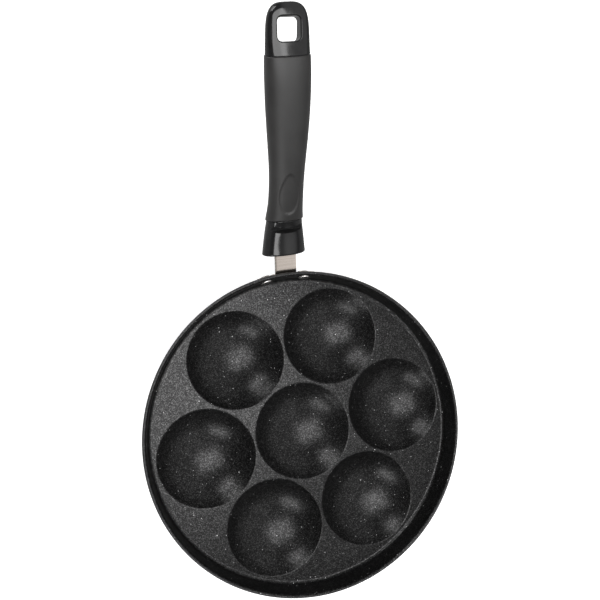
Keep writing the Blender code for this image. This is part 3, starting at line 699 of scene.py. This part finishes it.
def build_bracket(mats):
    """A stamped strip: wings follow the wall, the middle turns out into the tang."""
    rise = (BEND_START - W0).length
    top = (Vector((0, back_r(BRACKET_TOP_Z), BRACKET_TOP_Z)) - W0).length
    rows = [(W0 + W_DIR * (rise * k / 8), WALL_OUT, 0.0) for k in range(9)]
    for k in range(1, 15):
        a = -TURN * k / 14
        v = BEND_START - BEND_CENTRE
        p = BEND_CENTRE + Vector((0, v.y * math.cos(a) - v.z * math.sin(a), v.y * math.sin(a) + v.z * math.cos(a)))
        rows.append((p, (BEND_CENTRE - p).normalized(), k / 14))
    for k in range(1, 17):
        rows.append((BEND_END.lerp(TANG_END, k / 16), -TANG_UP, 1.0))
    wing0 = len(rows)
    for k in range(1, 5):
        rows.append((W0 + W_DIR * (rise + (top - rise) * k / 4), WALL_OUT, 0.0))
    half, corner = TANG_W / 2, 2.2
    side = [half + RELIEF_W + (BRACKET_HALF_W - corner - half - RELIEF_W) * k / 8 for k in range(9)]
    side += [BRACKET_HALF_W - corner + corner * math.sin(rad(90 * k / 6)) for k in range(1, 7)]
    middle = [-half + TANG_W * k / 10 for k in range(11)]
    columns = [-x for x in reversed(side)] + middle + side
    pts, index = [], {}
    for j, (p, normal, flat) in enumerate(rows):
        for i, x in enumerate(columns):
            wing = abs(x) > half + 0.01
            if (j >= wing0 and not wing) or (8 < j < wing0 and wing):
                continue
            q0 = p.copy()
            if abs(x) > BRACKET_HALF_W - corner:          # rounded wing corners, in both directions
                inset = corner - math.sqrt(max(corner ** 2 - (abs(x) - BRACKET_HALF_W + corner) ** 2, 0.0))
                s = (q0 - W0).length
                q0 = W0 + W_DIR * (inset + s * (top - 2 * inset) / top)
            for layer in (0, 1):
                deep = WING_T + (BRACKET_T - WING_T) * min(max((12 - abs(x) / half * 8) / 4, 0.0), 1.0) if flat == 0 else BRACKET_T
                q = q0 + normal * (deep * layer)
                t = x / back_r(PLATE_Z + 10.0)
                bent = Vector((q.y * math.sin(t), q.y * math.cos(t), q.z))
                index[j, i, layer] = len(pts)
                pts.append(bent.lerp(Vector((x, q.y, q.z)), flat))
    faces, use = [], {}
    steps = [(j, j + 1) for j in range(wing0 - 1)] + [(8, wing0)] + [(j, j + 1) for j in range(wing0, len(rows) - 1)]
    for j, j2 in steps:
        for i in range(len(columns) - 1):
            keys = [(j, i), (j, i + 1), (j2, i + 1), (j2, i)]
            if not all((a, b, 0) in index for a, b in keys):
                continue
            if (j >= 8 and j2 >= wing0) and columns[i] < 0 < columns[i + 1]:
                continue
            faces.append([index[a, b, 0] for a, b in keys])
            faces.append([index[a, b, 1] for a, b in reversed(keys)])
            for a, b in zip(keys, keys[1:] + keys[:1]):
                use.setdefault(frozenset((a, b)), []).append((a, b))
    for u in use.values():
        if len(u) == 1:
            (aj, ai), (bj, bi) = u[0]
            faces.append([index[bj, bi, 0], index[aj, ai, 0], index[aj, ai, 1], index[bj, bi, 1]])
    pa = Patches()
    pa.add(pts, faces)
    me = pa.mesh("bracket_fine")
    turn_outwards(me)
    ob = put("bracket_strap", me, mats)
    bevel = ob.modifiers.new("edges", "BEVEL")
    bevel.width, bevel.segments, bevel.limit_method, bevel.angle_limit = 0.22 * MM, 2, "ANGLE", rad(55)
    for name, m in RIVETS.items():
        cut(ob, turned("punch_" + name, [(0, -5), (RIVET_SHANK_R + 0.12, -5), (RIVET_SHANK_R + 0.12, 9), (0, 9)], 32, m))
    cut(ob, turned("tapped", [(0, -4), (SCREW_R + 0.15, -4), (SCREW_R + 0.15, 4), (0, 4)], 32, SCREW_M))
    return settle(ob, 42)


def build_rivet(name, mats):
    """Low head inside, nearly flat with a rolled edge; flattened tail outside."""
    r, h = RIVET_HEAD_R, RIVET_HEAD_H
    seat, roll = 0.06, 0.85
    crown = 0.32
    prof = [(0.0, -seat - h)]
    for k in range(1, 8):
        f = k / 8
        prof.append(((r - roll) * f, -seat - h + crown * f * f))
    for k in range(9):
        t = rad(14 + (90 - 14) * k / 8)
        prof.append((r - roll + roll * math.sin(t), -seat - (h - crown - 0.01) + roll - roll * math.cos(t)))
    prof += [(r, -seat - 0.14), (r - 0.14, -seat)]
    end = GRIP_LEN + seat
    tr, th = RIVET_TAIL_R, RIVET_TAIL_H
    prof += [(RIVET_SHANK_R, -seat), (RIVET_SHANK_R, end), (tr - 0.12, end), (tr, end + 0.15)]
    for k in range(1, 9):
        a = rad(90 * k / 8)
        prof.append((tr * math.cos(a) ** 0.7 if k < 8 else 0.0, end + 0.15 + (th - 0.15) * math.sin(a)))
    return put(name + "_piece", turned(name + "_fine", prof, 72, RIVETS[name]), mats, 50)


# ------------------------------------------------------------------ handle
def natural_spline(points):
    x = np.array([p[0] for p in points], float)
    y = np.array([p[1] for p in points], float)
    n = len(x)
    h = np.diff(x)
    a, b = np.zeros((n, n)), np.zeros(n)
    a[0, 0] = a[-1, -1] = 1.0
    for i in range(1, n - 1):
        a[i, i - 1], a[i, i], a[i, i + 1] = h[i - 1], 2 * (h[i - 1] + h[i]), h[i]
        b[i] = 6 * ((y[i + 1] - y[i]) / h[i] - (y[i] - y[i - 1]) / h[i - 1])
    m = np.linalg.solve(a, b)

    def both(t):
        i = int(min(max(np.searchsorted(x, t) - 1, 0), n - 2))
        d = h[i]
        u, v = x[i + 1] - t, t - x[i]
        value = (m[i] * u ** 3 + m[i + 1] * v ** 3) / (6 * d) + (y[i] / d - m[i] * d / 6) * u + (y[i + 1] / d - m[i + 1] * d / 6) * v
        slope = (-m[i] * u ** 2 + m[i + 1] * v ** 2) / (2 * d) - (y[i] / d - m[i] * d / 6) + (y[i + 1] / d - m[i + 1] * d / 6)
        return float(value), float(slope)

    return both


line, width, thick, full = (natural_spline(p) for p in (LINE, WIDTH, THICK, FULL))


def section(y):
    z, s = line(y)
    n = math.hypot(1.0, s)
    a, b = width(y)[0] / 2, thick(y)[0] / 2
    if y > TIP_START_Y:
        u = min((y - TIP_START_Y) / (TIP_Y - TIP_START_Y), 1.0)
        a *= max(1 - u ** 3.5, 0.0) ** (1 / 3.5)
        b *= max(1 - u ** 5.5, 0.0) ** (1 / 3.0)
    return Vector((0.0, y, z)), Vector((0.0, 1.0 / n, s / n)), Vector((0.0, -s / n, 1.0 / n)), a, b, full(y)[0]


def skin(y, t, offset=0.0, sec=None):
    c, _, up, a, b, p = sec or section(y)
    a, b = max(a + offset, 0.02), max(b + offset, 0.02)
    ct, st = math.cos(t), math.sin(t)
    return c + Vector((math.copysign(abs(ct) ** (2 / p), ct) * a, 0, 0)) + up * (math.copysign(abs(st) ** (2 / p), st) * b)


AROUND = 144
ANGLES = [2 * math.pi * (k + 0.5) / AROUND for k in range(AROUND)]


def ring(y, offset=0.0, tilt=0.0):
    """Points round the handle at station y; with tilt 1 in the plane of the mouth and of the sleeve's lower end."""
    sec = section(y)
    if not tilt:
        return [skin(y, t, offset, sec) for t in ANGLES]
    c, along = sec[0], sec[1]
    end = Vector((0, math.cos(GRIP_END), math.sin(GRIP_END)))
    n = along.lerp(end, tilt).normalized()
    out = []
    for t in ANGLES:
        s = y
        for _ in range(7):
            s -= (skin(s, t, offset) - c).dot(n) * along.y * 0.85
        out.append(skin(s, t, offset))
    return out


hole_mid, hole_a, hole_u, _, hole_b, _ = section(HOLE_Y)
HOLE_C = hole_mid + hole_u * hole_b
HOLE_ALONG = hole_a * math.cos(HOLE_TILT) - hole_u * math.sin(HOLE_TILT)
HOLE_UP = hole_u * math.cos(HOLE_TILT) + hole_a * math.sin(HOLE_TILT)
HOLE_LEAN = 2.0 * hole_b * math.tan(HOLE_TILT) * hole_a.y      # how far the lower mouth lies back


def hole_local(p):
    d = p - HOLE_C
    return d.x, d.dot(HOLE_ALONG), d.dot(HOLE_UP)


def skin_at(x, s, side):
    """Height of the handle's surface over the point (x, s) of the hanging hole's frame."""
    y = HOLE_Y + s * HOLE_ALONG.y - (HOLE_LEAN if side < 0 else 0.0)
    p = None
    for _ in range(18):
        sec = section(y)
        a, full_p = sec[3], sec[5]
        f = min(abs(x) / a, 0.999)
        t = math.acos(math.copysign(f ** (full_p / 2), x))
        p = skin(y, t if side > 0 else -t, 0.0, sec)
        y += (s - hole_local(p)[1]) * HOLE_ALONG.y
    return hole_local(p)[2]


def core_stations():
    """(station, offset, tilt) of the core's rings, from the mouth to the tip."""
    out = []
    for k in range(8):
        t = rad(90 * k / 7)
        out.append((MOUTH_Y + MOUTH_ROUND * (1 - math.cos(t)), -MOUTH_ROUND * (1 - math.sin(t)), 1.0))
    low, high = GRIP_LOW_Y - 0.25, GRIP_HIGH_Y + 0.25
    ys = list(np.linspace(MOUTH_Y + MOUTH_ROUND + 0.15, low - 0.45, 30))
    out += [(float(y), 0.0, 1.0) for y in ys]
    for k in range(1, 6):                                   # rounded shoulder before the sleeve
        t = rad(90 * k / 5)
        out.append((low - 0.35 + 0.35 * math.sin(t), -0.35 * (1 - math.cos(t)), 1.0))
    n = 26
    for k, y in enumerate(np.linspace(low, high, n)):
        out.append((float(y), -GRIP_DEEP, max(1.0 - k / 6, 0.0)))
    for k in range(5, 0, -1):
        t = rad(90 * k / 5)
        out.append((high + 0.35 - 0.35 * math.sin(t), -0.35 * (1 - math.cos(t)), 0.0))
    for y in np.linspace(high + 0.5, TIP_START_Y, 12):
        out.append((float(y), 0.0, 0.0))
    span = TIP_Y - TIP_START_Y
    for k in range(1, 29):
        v = k / 28
        u = 1 - (1 - v) ** 2.2 * (1 - 0.0) if v < 1 else 1
        y = TIP_START_Y + span * u
        out.append((min(y, TIP_LAST_Y), 0.0, 0.0))
        if y >= TIP_LAST_Y:
            break
    return out


def build_core(mats):
    stations = core_stations()
    rings = [ring(*s) for s in stations]
    count = len(rings)
    flat = [p for r in rings for p in r]
    pa = Patches()
    # region of the surface that is remade round the hanging hole, above and below
    half, half_l = HOLE_W / 2, HOLE_L / 2
    reach = half_l + HOLE_LIP + 0.2
    ys = [s[0] for s in stations]

    def from_edge(x, s):
        """Distance of a point in the hole's frame from the hole's outline, negative inside."""
        dx, ds = abs(x) - (half - HOLE_R), abs(s) - (half_l - HOLE_R)
        return math.hypot(max(dx, 0), max(ds, 0)) + min(max(dx, ds), 0) - HOLE_R

    skip = set()
    local = [hole_local(p) for p in flat]
    for side in (1, -1):
        y_mid = HOLE_Y - (HOLE_LEAN if side < 0 else 0.0)
        i0 = max(i for i, y in enumerate(ys) if y < y_mid - (reach + 1.1) * HOLE_ALONG.y and stations[i][1] == 0.0)
        i1 = min(i for i, y in enumerate(ys) if y > y_mid + (reach + 0.8) * HOLE_ALONG.y and stations[i][1] == 0.0)
        ks = [k for k in range(AROUND) if math.sin(ANGLES[k]) * side > 0]
        mid = [k for k in ks if all(abs(local[i * AROUND + k][0]) < 11.3 for i in (i0, (i0 + i1) // 2))]
        k0, k1 = min(mid), max(mid)
        for i in range(i0, i1):
            for k in range(k0, k1):
                skip.add((i, k))
        border = [(i0, k) for k in range(k0, k1)] + [(i, k1) for i in range(i0, i1)] + [(i1, k) for k in range(k1, k0, -1)] + [(i, k0) for i in range(i1, i0, -1)]
        outer = [flat[i * AROUND + k] for i, k in border]
        # (drop below the surface, distance from the wall)
        drops = [(HOLE_LIP * (1 - math.sin(rad(90 * q / 8))), HOLE_LIP * (1 - math.cos(rad(90 * q / 8)))) for q in range(9)]
        drops.append((0.0, HOLE_LIP + 0.2))
        loops3 = []
        for drop, out in drops:
            outline = rounded_rect(HOLE_W + 2 * out, HOLE_L + 2 * out, HOLE_R + out)
            loop = []
            for x, s in outline:
                w = skin_at(x, s, side) - side * drop
                loop.append(HOLE_C + Vector((x, 0, 0)) + HOLE_ALONG * s + HOLE_UP * w)
            loops3.append(loop)
        m = len(loops3[0])
        pa.add([p for l in loops3 for p in l], grid_faces(len(loops3), m))
        if side > 0:
            top_loop = loops3[0]
        else:
            low_loop = loops3[0]
        # triangles between the outermost lip ring and the border
        last = loops3[-1]
        extra3 = []
        for i in range(i0 + 1, i1):
            for k in range(k0 + 1, k1):
                x, s, _ = local[i * AROUND + k]
                if from_edge(x, s) > HOLE_LIP + 0.55:
                    extra3.append(flat[i * AROUND + k])
        all3 = list(last) + outer + extra3
        pts2 = [Vector(hole_local(p)[:2]) for p in all3]
        edges = [(a, (a + 1) % m) for a in range(m)]
        edges += [(m + a, m + (a + 1) % len(outer)) for a in range(len(outer))]
        verts, _, faces, orig, _, _ = delaunay_2d_cdt(pts2, edges, [], 0, 1e-7)
        good = []
        limit = [hole_local(p)[:2] for p in outer]
        for f in faces:
            x = sum(verts[v].x for v in f) / 3
            s = sum(verts[v].y for v in f) / 3
            if from_edge(x, s) < HOLE_LIP + 0.2 - 0.02:
                continue
            inside = False
            for a in range(len(limit)):
                (x1, y1), (x2, y2) = limit[a], limit[(a + 1) % len(limit)]
                if (y1 > s) != (y2 > s) and x < (x2 - x1) * (s - y1) / (y2 - y1) + x1:
                    inside = not inside
            if inside:
                good.append(tuple(orig[v][0] for v in f))
        pa.add(all3, good)
    m = len(top_loop)
    wall = []
    for q in range(17):
        wall += [a.lerp(b, q / 16) for a, b in zip(top_loop, low_loop)]
    pa.add(wall, grid_faces(17, m))
    quads = grid_faces(count, AROUND)
    pa.add(flat, [f for n, f in enumerate(quads) if (n // AROUND, n % AROUND) not in skip])
    first, last = rings[0], rings[-1]
    c0 = sum(first, Vector()) / AROUND
    c1 = sum(last, Vector()) / AROUND
    inset = [c0.lerp(p, 0.93) for p in first]
    pa.add(first + inset, grid_faces(2, AROUND))
    pa.add(inset, [tuple(range(AROUND))])
    pa.add([c1] + last, [(0, 1 + k, 1 + (k + 1) % AROUND) for k in range(AROUND)])
    me = pa.mesh("core_fine")
    turn_outwards(me)
    ob = put("handle_moulding", me, mats)

    # pocket for the tang
    w, t = TANG_W / 2 + 0.25, 0.25
    s0, s1 = (118.0 - TANG_REF_Y) / math.cos(TANG_SLOPE), (TANG_END_Y - TANG_REF_Y) / math.cos(TANG_SLOPE) + 0.6
    box = Patches()
    corners = [T0 + Vector((x, 0, 0)) + TANG_DIR * s + TANG_UP * h for h in (-BRACKET_T - t, t) for s in (s0, s1) for x in (-w, w)]
    box.add(corners, [(0, 1, 3, 2), (4, 5, 7, 6), (0, 1, 5, 4), (2, 3, 7, 6), (0, 2, 6, 4), (1, 3, 7, 5)])
    cut(ob, box.mesh("tang_pocket"))
    # counterbore and the bore for the screw
    cut(ob, turned("screw_bore", [(0, -30), (WASHER_R + 0.5, -30), (WASHER_R + 0.5, -SEAT), (SCREW_R + 0.25, -SEAT), (SCREW_R + 0.25, 4.5), (0, 4.5)], 64, SCREW_M))
    # cross groove with rounded floor corners
    c, along, up, _, b, _ = section(GROOVE_Y)
    lean = rad(14.0)                                         # the groove runs in slightly under the neck
    gm = frame_matrix(c + up * b, Vector((1, 0, 0)), along * math.cos(lean) + up * math.sin(lean), up * math.cos(lean) - along * math.sin(lean))
    hw, gr = GROOVE_W / 2, 0.6
    outline = [(hw, 9.0), (-hw, 9.0)]
    outline += [(-hw + gr + gr * math.cos(rad(180 + 90 * k / 5)), -GROOVE_DEPTH + gr + gr * math.sin(rad(180 + 90 * k / 5))) for k in range(6)]
    outline += [(hw - gr + gr * math.cos(rad(270 + 90 * k / 5)), -GROOVE_DEPTH + gr + gr * math.sin(rad(270 + 90 * k / 5))) for k in range(6)]
    g = Patches()
    m = len(outline)
    g.add([gm @ Vector((x, s, h)) for x in (-20, 20) for s, h in outline], grid_faces(2, m) + [tuple(range(m)), tuple(range(m, 2 * m))])
    cut(ob, g.mesh("groove"))
    ob = settle(ob, 36)
    back = gm.inverted()
    # groove faces and the hole's upper edge get slot 1: matt black painted darker, as shade
    for f in ob.data.polygons:
        p = f.center / MM
        q = back @ p
        if abs(q.y) < hw + 0.02 and q.z > -GROOVE_DEPTH - 0.05:
            f.material_index = 1
            continue
        x, s, w = hole_local(p)                              # the hole's upper edge takes the same unpolished band, its darker colour a painted dark line of shade
        if abs(x) < 9 and abs(s) < 9 and w > -4 and from_edge(x, s) < 0.6 and w > skin_at(x, s, 1) - HOLE_LIP - 0.3:
            f.material_index = 1
    return ob


def grip_proud(y):
    return GRIP_PROUD + GRIP_FLARE * math.exp(-((y - GRIP_LOW_Y) / 6.0) ** 2)


def thumb_dip(x, s):
    """Depth of the thumb rest at x across and s along, zero outside its teardrop outline."""
    low, high = -14.6, 17.0
    if not low < s < high:
        return 0.0
    v = (s - low) / (high - low)
    hw = 8.0 * (math.sin(math.pi * v ** 0.86) ** 0.50) * (1.03 - 0.16 * v)
    if hw < 0.05:
        return 0.0
    q = abs(x / hw)
    if q >= 1:
        return 0.0
    edge = min((1 - q) * hw, (s - low) * 1.0, (high - s) * 0.5)
    crisp = min(edge / 1.5, 1.0)
    return THUMB_DEPTH * (0.62 * crisp * crisp * (3 - 2 * crisp) + 0.38 * (1 - q * q))


def build_grip(mats):
    low, high, r = GRIP_LOW_Y, GRIP_HIGH_Y, 0.55
    c, along, up, _, _, _ = section(THUMB_Y)
    tilt_at = lambda y: max(0.0, 1.0 - (y - low) / 22.0)
    rows = [(low + r * (1 - math.cos(rad(90 * k / 5))), grip_proud(low) - r * (1 - math.sin(rad(90 * k / 5))), 1.0) for k in range(6)]
    for y in np.arange(low + r + 0.2, high - r - 0.1, 0.62):
        rows.append((float(y), grip_proud(y), tilt_at(y)))
    for k in range(6):
        t = rad(90 * k / 5)
        rows.append((high - r + r * math.sin(t), GRIP_PROUD - r * (1 - math.cos(t)), 0.0))
    outer = [ring(*s) for s in rows]
    for rr in outer:
        for i, p in enumerate(rr):
            d = p - c
            if d.dot(up) > 0 and abs(d.dot(along)) < 24:
                dip = thumb_dip(d.x, d.dot(along))
                if dip:
                    rr[i] = p - up * dip
    inner_ys = list(np.linspace(high, low, 24))
    inner = [ring(float(y), -GRIP_DEEP + 0.2, max((k - 17) / 6, 0.0)) for k, y in enumerate(inner_ys)]
    allr = outer + inner + [outer[0]]
    pa = Patches()
    pa.add([p for q in allr for p in q], grid_faces(len(allr), AROUND))
    me = pa.mesh("grip_fine")
    turn_outwards(me)
    return put("grip_sleeve", me, mats, 50)


# ------------------------------------------------------------------ screw and washer
def build_screw(mats):
    top = -SEAT - 0.3
    under = top - WASHER_T - 0.15
    prof = [(0.0, under - HEAD_H), (HEAD_R * 0.5, under - HEAD_H)]
    for k in range(1, 9):
        t = rad(90 * k / 8)
        prof.append((HEAD_R * 0.5 + HEAD_R * 0.5 * math.sin(t), under - HEAD_H * 0.35 - HEAD_H * 0.65 * math.cos(t)))
    prof += [(HEAD_R, under - 0.12), (HEAD_R - 0.12, under), (SCREW_R - 0.1, under)]
    pitch, z = 0.8, under + 0.8
    while z < 2.6:                                       # thread as rounded rings
        prof += [(SCREW_R - 0.42, z), (SCREW_R - 0.02, z + pitch * 0.42), (SCREW_R - 0.02, z + pitch * 0.58)]
        z += pitch
    prof += [(SCREW_R - 0.42, z), (SCREW_R - 0.7, 3.8), (0.0, 3.8)]
    ob = put("screw_piece", turned("screw_fine", prof, 64, SCREW_M), mats, 40)
    for k, rot in enumerate((45, 135)):
        m = SCREW_M @ Matrix.Rotation(rad(rot), 4, "Z")
        z0, z1 = under - HEAD_H - 1.0, under - HEAD_H + 1.5
        box = Patches()
        co = [m @ Vector((x, y, h)) for h, a, b in ((z0, 2.4, 0.62), (z1, 1.2, 0.36)) for x, y in ((-a, -b), (a, -b), (a, b), (-a, b))]
        box.add(co, [(0, 1, 2, 3), (4, 5, 6, 7), (0, 1, 5, 4), (1, 2, 6, 5), (2, 3, 7, 6), (3, 0, 4, 7)])
        cut(ob, box.mesh("cross_%d" % k))
    return settle(ob, 40)


def build_washer(mats):
    """Spring washer, pressed flat by the head: one turn of square wire with a slit."""
    top = -SEAT - 0.3
    r0, r1 = SCREW_R + 0.3, WASHER_R
    n, gap_deg, e = 84, 9.0, 0.12
    section2 = [(r0 + e, 0), (r1 - e, 0), (r1, e), (r1, WASHER_T - e), (r1 - e, WASHER_T), (r0 + e, WASHER_T), (r0, WASHER_T - e), (r0, e)]
    m = len(section2)
    pts = []
    for k in range(n + 1):
        a = rad(gap_deg / 2 + (360 - gap_deg) * k / n)
        for r, z in section2:
            pts.append(SCREW_M @ Vector((r * math.cos(a), r * math.sin(a), top - WASHER_T + z)))
    pa = Patches()
    pa.add(pts, grid_faces(n + 1, m) + [tuple(range(m)), tuple(range(n * m, n * m + m))])
    me = pa.mesh("washer_fine")
    turn_outwards(me)
    return put("washer_piece", me, mats, 40)


# ------------------------------------------------------------------ the object
COAT = coating_material()
OUTER = outer_material()
GROUND = ground_material(CENTRES)
STEEL = steel_material()
RIVET = rivet_material()
GLOSS = gloss_material()
PAINTED_SHADE_BLACK = shade_black_material()
SOFT = grip_material()
ZINC = zinc_material("screw_zinc", (0.66, 0.66, 0.68), (0.46, 0.46, 0.48), 0.22)
SPRING = zinc_material("washer_steel", (0.40, 0.40, 0.42), (0.26, 0.26, 0.27), 0.28)

made = [
    (build_pan([COAT, OUTER, GROUND]), "pan_body", "coating"),
    (build_bracket([STEEL]), "handle_bracket", "steel"),
    (build_rivet("rivet_left", [RIVET]), "rivet_left", "rivet_metal"),
    (build_rivet("rivet_right", [RIVET]), "rivet_right", "rivet_metal"),
    (build_core([GLOSS, PAINTED_SHADE_BLACK]), "handle_core", "handle_gloss"),
    (build_grip([SOFT]), "soft_grip", "grip_soft"),
    (build_screw([ZINC]), "handle_screw", "screw_steel"),
    (build_washer([SPRING]), "spring_washer", "washer_steel"),
]
for piece, node, slot in made:
    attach(piece, "root")
    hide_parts(node)

# ------------------------------------------------------------------ floor, light and camera
n = Nodes("pale_floor")
n.link(n.ramp(n.noise(60.0, 2.0, 0.5), (0.3, 0.80), (0.7, 0.82)), n.bsdf.inputs["Base Color"])
n.set(Roughness=0.9, IOR=1.3, Emission_Color=(1, 1, 1, 1), Emission_Strength=0.55)
floor_me = bpy.data.meshes.new("floor")
floor_me.from_pydata([(x, y, -0.0004) for x, y in ((-3, -3), (3, -3), (3, 3), (-3, 3))], [], [(0, 1, 2, 3)])
floor_me.materials.append(n.mat)
floor = bpy.data.objects.new("floor", floor_me)
bpy.context.scene.collection.objects.link(floor)
floor.visible_glossy = False

# the room: dim all round, lighter low down and towards +X
world = bpy.data.worlds.new("studio")
world.use_nodes = True
wt = world.node_tree


def world_ramp(value, stops):
    node = wt.nodes.new("ShaderNodeValToRGB")
    node.color_ramp.interpolation = "EASE"
    e = node.color_ramp.elements
    while len(e) < len(stops):
        e.new(0.5)
    for el, (pos, col) in zip(e, stops):
        el.position, el.color = pos, (col, col, col, 1)
    wt.links.new(value, node.inputs["Fac"])
    return node.outputs["Color"]


def world_math(op, a, b):
    node = wt.nodes.new("ShaderNodeMath")
    node.operation = op
    for i, v in enumerate((a, b)):
        if isinstance(v, (int, float)):
            node.inputs[i].default_value = v
        else:
            wt.links.new(v, node.inputs[i])
    return node.outputs[0]


split = wt.nodes.new("ShaderNodeSeparateXYZ")
wt.links.new(wt.nodes.new("ShaderNodeTexCoord").outputs["Generated"], split.inputs[0])
wx, wy, wz = (world_math("MULTIPLY_ADD", split.outputs[i], 0.5) for i in range(3))
for v in (wx, wy, wz):
    v.node.inputs[2].default_value = 0.5
low_band = world_ramp(wz, ((0.0, 0.30), (0.50, 0.30), (0.60, 0.0)))
panel = world_math("MULTIPLY", world_ramp(wx, ((0.50, 0.0), (0.64, 1.0))), world_ramp(wz, ((0.58, 0.0), (0.71, 1.0))))
front = world_math("MULTIPLY", world_ramp(wy, ((0.14, 1.0), (0.40, 0.0))), world_ramp(wz, ((0.66, 0.0), (0.80, 1.0))))
glow = world_math("ADD", world_math("MULTIPLY", panel, 0.85), world_math("MULTIPLY", front, 0.48))
glow = world_math("ADD", glow, world_math("ADD", low_band, 0.10))
wt.links.new(glow, wt.nodes["Background"].inputs["Strength"])
wt.nodes["Background"].inputs["Color"].default_value = (1, 1, 1, 1)
bpy.context.scene.world = world
bpy.context.scene.view_settings.view_transform = "Standard"

LIGHTS = {
    # azimuth, elevation, distance, width, height, radiance
    "top_box": (-163, 82.6, 0.95, 0.57, 0.69, 5.85),
    "top_strip": (0, 82.5, 0.93, 0.60, 0.15, 1.4),
    "front_box": (-118, 32, 1.0, 0.50, 0.20, 7.6),
    "back_box": (123, 35, 1.0, 0.44, 0.22, 9.0),
    "front_low": (-129, 8, 1.0, 0.46, 0.10, 10.0),
    "back_low": (124, 15, 1.0, 0.44, 0.16, 9.0),
}
aim = Vector((0, 0, PLATE_Z * MM))
for name, (az, el, dist, sx, sy, power) in LIGHTS.items():
    data = bpy.data.lights.new(name, "AREA")
    data.shape = "RECTANGLE"
    data.size, data.size_y = sx, sy
    data.energy = power * sx * sy * math.pi
    lamp = bpy.data.objects.new(name, data)
    d = Vector((math.cos(rad(el)) * math.cos(rad(az)), math.cos(rad(el)) * math.sin(rad(az)), math.sin(rad(el))))
    lamp.location = aim + d * dist
    lamp.rotation_euler = (-d).to_track_quat("-Z", "Y").to_euler()
    bpy.context.scene.collection.objects.link(lamp)

cam_data = bpy.data.cameras.new("camera")
cam_data.lens, cam_data.sensor_width = 44.576, 36.0
cam_data.clip_start, cam_data.clip_end = 0.01, 20.0
cam = bpy.data.objects.new("camera", cam_data)
q = Vector((-0.0209364695, -0.252229487, -0.142077396))
cam.rotation_mode = "QUATERNION"
cam.rotation_quaternion = Quaternion((0, 0, 1), rad(0.35)) @ Quaternion(q.normalized(), q.length)
cam.location = (-0.127713, 0.119063, 0.561947)
bpy.context.scene.collection.objects.link(cam)
bpy.context.scene.camera = cam
